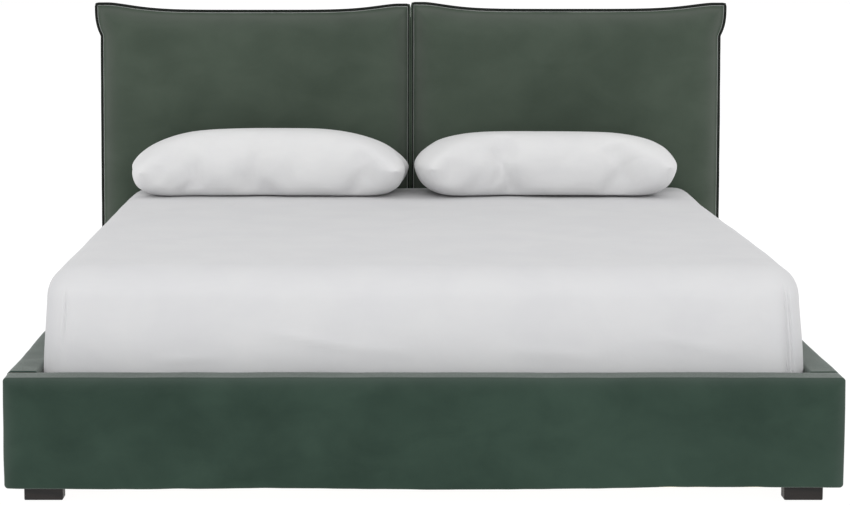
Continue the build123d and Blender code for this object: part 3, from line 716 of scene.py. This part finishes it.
def flare(distance):
    """How strongly a corner pushes the upright edge outwards at this distance below it."""
    return 1 - np.clip(distance / FLARE_REACH, 0, 1) ** 3


def cushion_outline(u, v, near, far, low, high, ears):
    """Where the point u, v of a panel lies in X and Z; ears are the corners' lifts."""
    across = far - near
    rise = ears["near"] * ear(u * abs(across)) + ears["far"] * ear((1 - u) * abs(across))
    drop = 0.55 * rise
    tall = high - low
    push = ears["flare"] * (flare((1 - v) * tall) + flare(v * tall))
    x = near + u * across + np.sign(across) * (push - LEAN * v ** 1.5) * u ** 6
    top = high + rise
    bottom = low - drop
    return x, bottom + v * (top - bottom)


half_way = EAR_TIP + EAR_REACH * math.log(2) ** (1 / EAR_POWER)
print("an ear's lift is down to half at", round(half_way, 3), "m from the corner")

# %% How thick a cushion is, point by point
ROLL = 0.095
ROLL_POWER = 2.6
RIM_HALF = 0.0028
CROWN = 0.005
PUCKER = 1.1


def puckers(x, z, gaps, seed):
    """Little folds square to each seam, dying away within a few centimetres of it."""
    total = np.zeros(len(x))
    for index, (gap, along) in enumerate(zip(gaps, (z, z, x, x))):
        run = np.stack([along, np.zeros_like(along), np.full_like(along, 3.1 * index)], axis=1)
        fine = drift(run, 0.045, seed + index)
        broad = drift(run, 0.16, seed + index + 7)
        total += fine * np.exp(-gap / 0.022) + broad * np.exp(-gap / 0.06)
    return total


def panel_depth(u, v, x, z, gaps, half, seed):
    """Half the cushion's thickness: a fast roll at the seam, a faint crown, lumps and puckers."""
    gap = np.minimum.reduce(gaps)
    full = 1 - (1 - np.clip(gap / ROLL, 0, 1)) ** ROLL_POWER
    crown = np.sin(math.pi * u) * np.sin(math.pi * v)
    where = np.stack([x, np.zeros_like(x), z], axis=1)
    lump = drift(where, 0.5, seed + 20) * 1.2 + drift(where, 0.2, seed + 21) * 0.5
    fold = puckers(x, z, gaps, seed) * PUCKER
    depth = RIM_HALF + full * (half - 0.006 - RIM_HALF + CROWN * crown)
    return depth + (lump * soft_step(gap, 0, 0.15) + fold * soft_step(gap, 0, 0.006)) * MM


print("the roll is", ROLL, "m wide")


# %% The flange, as rings of points outside the seam
def seam_ring(number):
    """The points of a panel's edge, once round."""
    return np.concatenate([number[:-1, 0], number[-1, :-1], number[:0:-1, -1], number[0, :0:-1]])


def flange_rings(seam, mid, side, seed):
    """Four rings that go out from the front seam, round the rim, and back to the rear seam."""
    tangent = np.roll(seam, -1, axis=0) - np.roll(seam, 1, axis=0)
    tangent /= np.linalg.norm(tangent, axis=1, keepdims=True)
    outward = side * np.stack([tangent[:, 1], -tangent[:, 0]], axis=1)
    wave = drift(np.stack([seam[:, 0], seam[:, 1], np.zeros(len(seam))], axis=1), 0.09, seed + 30)
    rings = []
    for reach, offset in ((0.45, -1), (1.0, -0.55), (1.0, 0.55), (0.45, 1)):
        edge = seam + outward * FLANGE * reach
        y = mid + offset * RIM_HALF * 0.9 + wave * reach * 0.9 * MM
        rings.append(np.stack([edge[:, 0], y, edge[:, 1]], axis=1))
    return rings


print("flange", FLANGE / MM, "mm wide")

# %% Sew the panels and the flange into one cover
EAR_ROOM = 0.029
HEM_ROOM = 0.017
CUSHION_SHEEN_START = 0.006
CUSHION_SHEEN_REACH = 0.022


def cushion_cover(name, side, ears, seed):
    """Front and back panel and flange of one cushion, as one closed bag."""
    low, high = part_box(f"cushion_cover_{name}")
    mid = (low.y + high.y) / 2
    half = (high.y - low.y) / 2 - 2.0 * MM
    seam_top = high.z - EAR_ROOM - FLANGE + ears["lift"]
    seam_low = low.z + HEM_ROOM + FLANGE
    near = side * (0.0002 + FLANGE)
    far = side * (foot_high.x - FLANGE)
    u, v = np.meshgrid(crowded(CUSHION_COLUMNS), crowded(CUSHION_ROWS), indexing="ij")
    u, v = u.ravel(), v.ravel()
    x, z = cushion_outline(u, v, near, far, seam_low, seam_top, ears)
    width, tall = abs(far - near), seam_top - seam_low
    gaps = (u * width, (1 - u) * width, v * tall, (1 - v) * tall)
    depth = panel_depth(u, v, x, z, gaps, half, seed)
    panels = [np.stack([x, mid + facing * depth, z], axis=1) for facing in (-1, 1)]
    panel_count = len(x)
    ring = seam_ring(np.arange(panel_count).reshape(CUSHION_COLUMNS, CUSHION_ROWS))
    rims = flange_rings(np.stack([x[ring], z[ring]], axis=1), mid, side, seed)

    front = flat_grid(CUSHION_COLUMNS, CUSHION_ROWS)
    if side < 0:
        front = front[:, ::-1]
    quads = [front, front[:, ::-1] + panel_count]
    marks = [np.zeros(2 * len(front), int)]
    loops = [ring] + [2 * panel_count + len(ring) * n + np.arange(len(ring)) for n in range(4)]
    loops.append(ring + panel_count)
    for first, second in zip(loops[:-1], loops[1:]):
        strip = np.stack([first, second, np.roll(second, -1), np.roll(first, -1)], axis=1)
        quads.append(strip[:, ::-1] if side > 0 else strip)
        stitched = first is loops[0] or second is loops[-1]
        # The strips at both seams and round the outer edges take the dark flange velvet, which is
        # painted shade. Along the middle edge the flange keeps the cushion velvet.
        marks.append(np.where((u[ring] > 0.001) | stitched, 1, 0))
    made = piece(f"cushion_velvet_{name}", np.concatenate(panels + rims),
                 np.concatenate(quads)[:, ::-1], [CUSHION_VELVET, PAINTED_SHADE_FLANGE_VELVET],
                 np.concatenate(marks))
    # Painted sheen: the panels are painted paler over the roll next to the seam. It fades in over the
    # first centimetre or so and fades out over a few more.
    gap = np.minimum.reduce(gaps)
    edge_sheen_amount = 0.8 * np.exp(-np.maximum(gap - CUSHION_SHEEN_START, 0) / CUSHION_SHEEN_REACH)
    edge_sheen_amount *= soft_step(gap, 0.004, 0.016)
    paint_edge_sheen(made, np.concatenate([edge_sheen_amount, edge_sheen_amount, np.zeros(4 * len(ring))]))
    settle(made, f"headboard_cushion_{name}",
           [f"cushion_cover_{name}", f"cushion_foam_{name}"])


cushion_cover("left", -1, {"near": 0.021, "far": 0.025, "flare": 0.0195, "lift": 0.0}, 51)
cushion_cover("right", 1, {"near": 0.0235, "far": 0.021, "flare": 0.0195, "lift": 0.003}, 81)

# %% [markdown]
# ## The mattress in its ticking
# Under the coverlet lies a real mattress: ticking quilted in diamonds, with a taped edge round the
# bottom. Most of it is hidden, but it shows from below between the slats and when it is lifted
# out. The quilting is pressed into the mesh where it can be seen, and the tape is a thin tube that
# follows the rounded rectangle of the edge.


# %% Ticking and pad finishes
def quilted(name, shade, bright, spacing):
    finish = Finish(name, Sheen_Weight=0.1, Specular_IOR_Level=0.25)
    rising = finish.waves(0.5 / spacing, "DIAGONAL")
    falling = finish.waves(0.5 / spacing, "DIAGONAL", place=finish.stretched(-1.0, 1.0, 1.0))
    stitches = rising ** 0.35 * falling ** 0.35
    weave = finish.noise(900.0, detail=2.0)
    cloud = finish.noise(5.0)
    # The colour darkens along the quilting lines, where the relief dips: painted shade in the
    # stitched hollows, under a random cloud of tone.
    finish.colour(finish.blend(finish.between(stitches * 0.7 + cloud * 0.3, 0.1, 0.8), shade, bright))
    finish.rough(0.85 + weave * 0.1)
    puffed = finish.relief(stitches, 0.004, strength=0.6)
    finish.normal(finish.relief(weave, 0.0004, strength=0.3, over=puffed))
    return finish.material


TICKING = quilted("damask_ticking", paint(196, 197, 198), paint(228, 228, 226), 0.07)
PAD_COTTON = quilted("pad_cotton", paint(214, 214, 214), paint(236, 236, 235), 0.05)
TAPE = cotton("ticking_tape", paint(150, 152, 156), paint(176, 178, 182), 0.001)
print("ticking, pad and tape made")

# %% The quilted mattress
MATTRESS_ROLL = 0.074
DIAMOND = 0.14
STITCH_DEPTH = 3.0 * MM
TICKING_INSET = 5.0 * MM
core_low, core_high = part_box("mattress_ticking")
points, normals, quads = rounded_box(core_low, core_high, MATTRESS_ROLL, 0.02)
puff = np.abs(np.sin((points[:, 0] + points[:, 1]) * math.pi / DIAMOND)
              * np.sin((points[:, 0] - points[:, 1]) * math.pi / DIAMOND)) ** 0.5
pressed_in = TICKING_INSET + (1 - puff) * STITCH_DEPTH * np.abs(normals[:, 2])
points = points - normals * pressed_in[:, None]
mattress = piece("mattress_in_ticking", points, quads, [TICKING])
settle(mattress, "mattress", ["mattress_ticking", "mattress_core"])


# %% The taped edge
def edge_loop(low, high, radius, height, steps=10):
    """Points round a rounded rectangle at one height."""
    points = []
    for corner, (sx, sy) in enumerate(((1, 1), (-1, 1), (-1, -1), (1, -1))):
        centre_x = (high[0] if sx > 0 else low[0]) - sx * radius
        centre_y = (high[1] if sy > 0 else low[1]) - sy * radius
        for angle in np.radians(np.linspace(90 * corner, 90 * corner + 90, steps)):
            points.append((centre_x + radius * math.cos(angle),
                           centre_y + radius * math.sin(angle), height))
    return points


def tube(name, path, radius, finish):
    """A round tube along a closed path."""
    curve = bpy.data.curves.new(name, "CURVE")
    curve.dimensions = "3D"
    curve.bevel_depth = radius
    curve.bevel_resolution = 3
    line = curve.splines.new("POLY")
    line.points.add(len(path) - 1)
    for point, place in zip(line.points, path):
        point.co = (*place, 1)
    line.use_cyclic_u = True
    line.use_smooth = True
    made = bpy.data.objects.new(name, curve)
    bpy.context.scene.collection.objects.link(made)
    curve.materials.append(finish)
    return made


TAPE_RADIUS = 0.0035
tape = tube("mattress_edge_tape",
            edge_loop(core_low, core_high, MATTRESS_ROLL, core_low.z + MATTRESS_ROLL),
            TAPE_RADIUS, TAPE)
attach(tape, "mattress")
print("tape radius", TAPE_RADIUS / MM, "mm")

# %% The quilted pad
PAD_ROLL = 0.078
PAD_INSET = np.array((8.0, 5.0, 4.0)) * MM
PAD_CLOTH = 0.003
points, normals, quads = rounded_box(*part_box("mattress_pad"), PAD_ROLL, 0.03)
open_under = normals[quads].mean(axis=1)[:, 2] > -0.5
points, quads = keep_quads(points - normals * PAD_INSET, quads[open_under])
pad = piece("quilted_mattress_pad", points, quads, [PAD_COTTON])
skin(pad, PAD_CLOTH)
settle(pad, "mattress", ["mattress_pad"])

# %% [markdown]
# ## The coverlet
# The white coverlet is one flat cloth, pulled smooth over the mattress and tucked between it and
# the rails. Its shoulder is a broad soft roll, and its sides lean out a little towards the rails.
# At the foot corners the spare cloth is folded over in a flap, whose edge hangs straight down two
# fingers' breadth from the corner. Pulling and tucking leave long shallow creases, which are
# placed one by one. Everything is worked out as one height over the skin of a rounded box.

# %% The skin of the coverlet
COVERLET_ROLL = 0.080
COVERLET_CELL = 0.0115
HEAD_ROLL = 0.022
TUCKS = (0.932, 0.944, -0.918)

sheet_low, sheet_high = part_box("coverlet")
head_start = sheet_high.y - HEAD_ROLL
long_high = Vector((sheet_high.x, head_start + COVERLET_ROLL, sheet_high.z))
deep_low = sheet_low - Vector((0, 0, COVERLET_ROLL))
around_fold = np.array((-6.0, -4.5, -3.0, -1.5, -0.5, 0.5, 1.5, 3.0, 5.0)) * MM
fold_lines = np.concatenate([place * 1.003 + around_fold for place in TUCKS])
points, normals, quads = rounded_box(deep_low, long_high, COVERLET_ROLL, COVERLET_CELL, fold_lines)
beyond = points[:, 1] > head_start
points[beyond, 1] = head_start + (points[beyond, 1] - head_start) * HEAD_ROLL / COVERLET_ROLL
walls = points[quads].mean(axis=1)[:, 2] > sheet_low.z
print("coverlet points", len(points))

# %% Uneven cloth and the tucked folds
TUCK_RISES = (7.0, 3.5, -3.5)
TUCK_FADE = 0.02
x, y, z = points.T
below_top = sheet_high.z - z
height = 1.3 * MM * drift(points, 0.7, 61) + 0.5 * MM * drift(points, 0.22, 62)
height += 3.0 * MM * soft_step(y, 0.6, 0.95) * normals[:, 2]
side_wall = soft_step(below_top, 0.03, 0.10)
height += side_wall * 1.4 * MM * drift(points * (1, 1, 0.35), 0.16, 63)

front = np.clip(-normals[:, 1], 0, 1)
for place, rise in zip(TUCKS, TUCK_RISES):
    edge = place - 1.0 * MM
    step = soft_step(x, edge - 1.0 * MM, edge + 1.0 * MM)
    step = step * np.exp(-np.maximum(x - place, 0) / TUCK_FADE)
    groove = np.exp(-((x - edge + 3.0 * MM) / (2.2 * MM)) ** 2)
    height += MM * front * side_wall * (rise * step - 0.9 * abs(rise) * groove)
height += 2.0 * MM * front * side_wall * np.exp(-((x + 0.885) / 0.016) ** 2)
print("folds at", TUCKS)

# %% Creases, each from a start to an end, with a width in metres and a rise in millimetres
CREASES = (
    ((-0.42, -1.075, 0.43), (-0.20, -1.075, 0.39), 0.012, 2.88),
    ((-0.30, -1.075, 0.40), (-0.02, -1.075, 0.37), 0.014, 2.16),
    ((-0.68, -1.075, 0.35), (-0.50, -1.075, 0.36), 0.010, 2.52),
    ((0.20, -1.075, 0.38), (0.46, -1.075, 0.36), 0.014, 2.16),
    ((0.55, -1.075, 0.42), (0.80, -1.075, 0.37), 0.012, 2.16),
    ((-0.62, 0.40, 0.59), (-0.52, 0.62, 0.59), 0.014, 3.96),
    ((0.36, 0.44, 0.59), (0.44, 0.60, 0.59), 0.012, 3.6),
    ((-0.20, -0.10, 0.59), (0.30, 0.10, 0.59), 0.030, 2.16),
    ((-0.80, -0.60, 0.59), (-0.40, -0.35, 0.59), 0.030, 2.16),
    ((0.45, -0.70, 0.59), (0.85, -0.30, 0.59), 0.030, 2.16),
    ((0.979, -0.80, 0.40), (0.979, -0.40, 0.36), 0.014, 2.52),
    ((-0.979, -0.30, 0.42), (-0.979, 0.20, 0.37), 0.014, 2.52),
)


def crease(points, start, end, width, height):
    """A soft ridge of this height along the line from start to end."""
    start, end = np.array(start, float), np.array(end, float)
    run = end - start
    share = np.clip((points - start) @ run / (run @ run), 0, 1)
    away = np.linalg.norm(points - start - share[:, None] * run, axis=1)
    taper = np.sin(math.pi * np.clip(share, 0.02, 0.98)) ** 0.7
    return height * taper * np.exp(-(away / width) ** 2)


for start, end, width, rise in CREASES:
    height += crease(points, start, end, width, rise * MM)
print("creases", len(CREASES))

# %% Lean the sides out and finish the coverlet
FLARE = 0.016
FLARE_BALANCE = 0.42
DEEPEST = -4.0 * MM
COVERLET_CLOTH = 0.003
points = points + normals * np.maximum(height, DEEPEST)[:, None]
flare_out = FLARE * (soft_step(below_top, 0.02, 0.30) - FLARE_BALANCE)
points[:, 0] *= 1 + flare_out / sheet_high.x
points, quads = keep_quads(points, quads[walls])
coverlet = piece("white_coverlet", points, quads, [COVERLET_COTTON])
skin(coverlet, COVERLET_CLOTH)
settle(coverlet, "mattress", ["coverlet"])

# %% [markdown]
# ## The pillows
# A pillowcase is two flat rectangles sewn together, so the honest way to make a pillow is to sew
# one and blow it up. Blender's cloth solver does that with a little pressure and no gravity: the
# middle fills, the corners stay flat and pointed, and fine creases run in from the seam. The
# result is fitted to the space the CAD model keeps for the pillow and pressed flat underneath.

# %% Sew a pillowcase
PILLOW_COLUMNS = 84
PILLOW_ROWS = 46
CORNER_EASE = 0.48


def sewn_case(name, length, width, seed):
    """Two flat panels with one common edge, a little uneven, ready to be inflated."""
    u, v = np.meshgrid(np.linspace(-1, 1, PILLOW_COLUMNS), np.linspace(-1, 1, PILLOW_ROWS),
                       indexing="ij")
    u, v = u.ravel(), v.ravel()
    eased_u = u * np.sqrt(1 - CORNER_EASE * v * v / 2)
    eased_v = v * np.sqrt(1 - CORNER_EASE * u * u / 2)
    flat = np.stack([eased_u * length / 2, eased_v * width / 2, np.zeros_like(u)], axis=1)
    edge = (np.abs(u) > 0.9999) | (np.abs(v) > 0.9999)
    lens = np.sqrt(np.clip((1 - u * u) * (1 - v * v), 0, 1)) * 0.02
    lens += 1.2 * MM * drift(flat, 0.16, seed) * ~edge
    rise = np.stack([np.zeros_like(u), np.zeros_like(u), lens], axis=1)
    number = np.arange(len(u))
    below = np.where(edge, number, len(u) + np.cumsum(~edge) - 1)
    points = np.concatenate([flat + rise, (flat - rise)[~edge]])
    top = flat_grid(PILLOW_COLUMNS, PILLOW_ROWS)
    bottom = below[top][:, ::-1]
    return piece(name, points, np.concatenate([top, bottom]), [PILLOW_COTTON])


print("a pillowcase panel has", PILLOW_COLUMNS * PILLOW_ROWS, "points")

# %% Blow it up
PILLOW_FRAMES = 26
PILLOW_PRESSURE = 4.2


def inflate(made, pressure, frames):
    """Cloth simulation with pressure and no gravity, applied to the mesh."""
    bpy.context.view_layer.objects.active = made
    cloth = made.modifiers.new("inflate", "CLOTH")
    cloth.settings.quality = 6
    cloth.settings.mass = 0.25
    cloth.settings.tension_stiffness = 12
    cloth.settings.compression_stiffness = 8
    cloth.settings.shear_stiffness = 6
    cloth.settings.bending_stiffness = 0.35
    cloth.settings.air_damping = 2
    cloth.settings.use_pressure = True
    cloth.settings.uniform_pressure_force = pressure
    cloth.settings.effector_weights.gravity = 0
    cloth.collision_settings.use_collision = False
    cloth.collision_settings.use_self_collision = False
    cloth.point_cache.frame_end = frames
    for step in range(1, frames + 1):
        bpy.context.scene.frame_set(step)
    graph = bpy.context.evaluated_depsgraph_get()
    filled = bpy.data.meshes.new_from_object(made.evaluated_get(graph))
    made.modifiers.clear()
    made.data = filled
    bpy.context.scene.frame_set(1)


print("pressure", PILLOW_PRESSURE, "for", PILLOW_FRAMES, "frames")


# %% Fullness along and across a pillow
def reach_along(share, height, bins=55):
    """The greatest height at each place along the pillow, as a smooth function of the place."""
    slot = np.clip(((share + 1) / 2 * bins).astype(int), 0, bins - 1)
    most = np.zeros(bins)
    np.maximum.at(most, slot, height)
    padded = np.pad(most, 1, mode="edge")
    smooth = np.convolve(padded, np.ones(3) / 3, mode="valid")
    return np.interp(share, (np.arange(bins) + 0.5) / bins * 2 - 1, np.maximum(smooth, 1 * MM))


def plump(share, power, blunt):
    """Height of a well-filled pillow along its length: 0 at the noses, 1 over the middle."""
    return np.clip(1 - np.abs(share) ** power, 0, 1) ** blunt


def boxy(share, power):
    """Moves heights between 0 and 1 outwards, so that a round section becomes a fuller one."""
    return 1 - (1 - np.clip(share, 0, 1)) ** power


print("pillow halfway to its nose", round(float(plump(0.5, 3.4, 0.72)), 3), "of its full height")

# %% Fit it to its place and press it flat underneath
PRESS = 0.014
CALMING = 18


def pillow(name, seed, nose, upper, trim):
    """One inflated pillow in the space of its CAD solid; nose is the height of its ends."""
    low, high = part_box(f"pillowcase_{name}")
    high -= Vector(trim)
    low.x -= trim[0] / 2
    size = np.array(high - low)
    made = sewn_case(f"pillow_{name}", size[0] * 1.06, size[1] * 1.26, seed)
    inflate(made, PILLOW_PRESSURE, PILLOW_FRAMES)
    count = len(made.data.vertices)
    points = np.zeros(count * 3)
    made.data.vertices.foreach_get("co", points)
    points = points.reshape(-1, 3)
    for axis in (0, 1):
        span = points[:, axis].max() - points[:, axis].min()
        points[:, axis] -= (points[:, axis].max() + points[:, axis].min()) / 2
        points[:, axis] *= size[axis] / span
    share = points[:, 0] / (size[0] / 2)
    up = points[:, 2] > 0
    above = reach_along(share[up], points[up, 2])
    below = reach_along(share[~up], -points[~up, 2])
    tall = size[2] - 1.5 * MM
    top = boxy(points[up, 2] / above, 1.15)
    points[up, 2] = top * (1 - nose) * tall * plump(share[up], *upper)
    bottom = boxy(-points[~up, 2] / below, 1.9)
    points[~up, 2] = -bottom * nose * tall * plump(share[~up], 9.0, 0.55)
    floor = low.z + 1.0 * MM
    points += (*((np.array(low) + np.array(high)) / 2)[:2], floor + nose * tall)
    lowest = points[:, 2] < floor + PRESS
    points[lowest, 2] = floor + PRESS * np.exp((points[lowest, 2] - floor - PRESS) / PRESS) * 0.6
    made.data.vertices.foreach_set("co", points.ravel())
    made.data.update()
    made.data.shade_smooth()
    calm = made.modifiers.new("calm", "SMOOTH")
    calm.factor = 0.5
    calm.iterations = CALMING
    finer = made.modifiers.new("finer", "SUBSURF")
    finer.levels = 1
    finer.render_levels = 1
    settle(made, f"pillow_{name}",
           [f"pillowcase_{name}", f"pillow_insert_{name}"])


pillow("left", 71, 0.42, (3.4, 0.72), (0, 0, 0))
pillow("right", 91, 0.50, (4.0, 0.60), (0.012, 0, 0.011))

# %% [markdown]
# ## Floor, light and camera
# The bed stands on a plain pale floor that runs out of sight and glows a little, so that no hard
# shadow falls on it. A pale world gives soft light from everywhere. Two large softboxes in front,
# one on each side, model the folds without hard shadows, and a low wide one between them keeps the
# bedding pale down to the rail. The camera stands well back at standing eye height, a little left
# of the middle, and looks slightly down through a long lens.

# %% Floor and world
FLOOR_HALF = 60.0
FLOOR_GLOW = 0.96


def studio_floor():
    finish = Finish("studio_floor", Roughness=0.9, Specular_IOR_Level=0.1,
                    Emission_Strength=FLOOR_GLOW)
    finish.shader.inputs["Emission Color"].default_value = (1, 1, 1, 1)
    grain = finish.noise(3.0)
    finish.colour(finish.blend(grain, (0.08, 0.08, 0.08, 1), (0.10, 0.10, 0.10, 1)))
    return finish.material


floor = piece("studio_floor", [(-FLOOR_HALF, -FLOOR_HALF, 0), (FLOOR_HALF, -FLOOR_HALF, 0),
                               (FLOOR_HALF, FLOOR_HALF, 0), (-FLOOR_HALF, FLOOR_HALF, 0)],
              [(0, 1, 2, 3)], [studio_floor()])

world = bpy.data.worlds.new("pale_room")
world.use_nodes = True
background = world.node_tree.nodes["Background"]
background.inputs["Color"].default_value = (1.0, 1.0, 1.0, 1.0)
background.inputs["Strength"].default_value = 1.0
bpy.context.scene.world = world
bpy.context.scene.view_settings.view_transform = "Standard"
print("floor and world ready")


# %% Softboxes
def softbox(name, place, target, size, power):
    """A large square lamp at a place, aimed at a target."""
    lamp = bpy.data.lights.new(name, "AREA")
    lamp.shape = "SQUARE"
    lamp.size = size
    lamp.energy = power
    made = bpy.data.objects.new(name, lamp)
    bpy.context.scene.collection.objects.link(made)
    made.location = place
    made.rotation_mode = "QUATERNION"
    made.rotation_quaternion = (Vector(target) - Vector(place)).to_track_quat("-Z", "Y")
    print(name, power, "W")


softbox("front_left_softbox", (-4.0, -6.5, 4.2), (0, 0, 0.5), 4.0, 50)
softbox("front_right_softbox", (4.5, -5.5, 3.4), (0, 0, 0.5), 3.5, 20)
softbox("low_front_fill", (0.0, -8.0, 1.0), (0, 0, 0.5), 5.0, 120)

# %% Camera
CAMERA_PLACE = (-0.130, -6.997, 1.379)
CAMERA_DIP = 7.205
camera_data = bpy.data.cameras.new("camera")
camera_data.sensor_width = 36.0
camera_data.lens = 99.02
camera_data.shift_x = 0.0615
camera = bpy.data.objects.new("camera", camera_data)
bpy.context.scene.collection.objects.link(camera)
camera.location = CAMERA_PLACE
camera.rotation_euler = (math.radians(90 - CAMERA_DIP), 0, 0)
bpy.context.scene.camera = camera
print("camera at", CAMERA_PLACE)
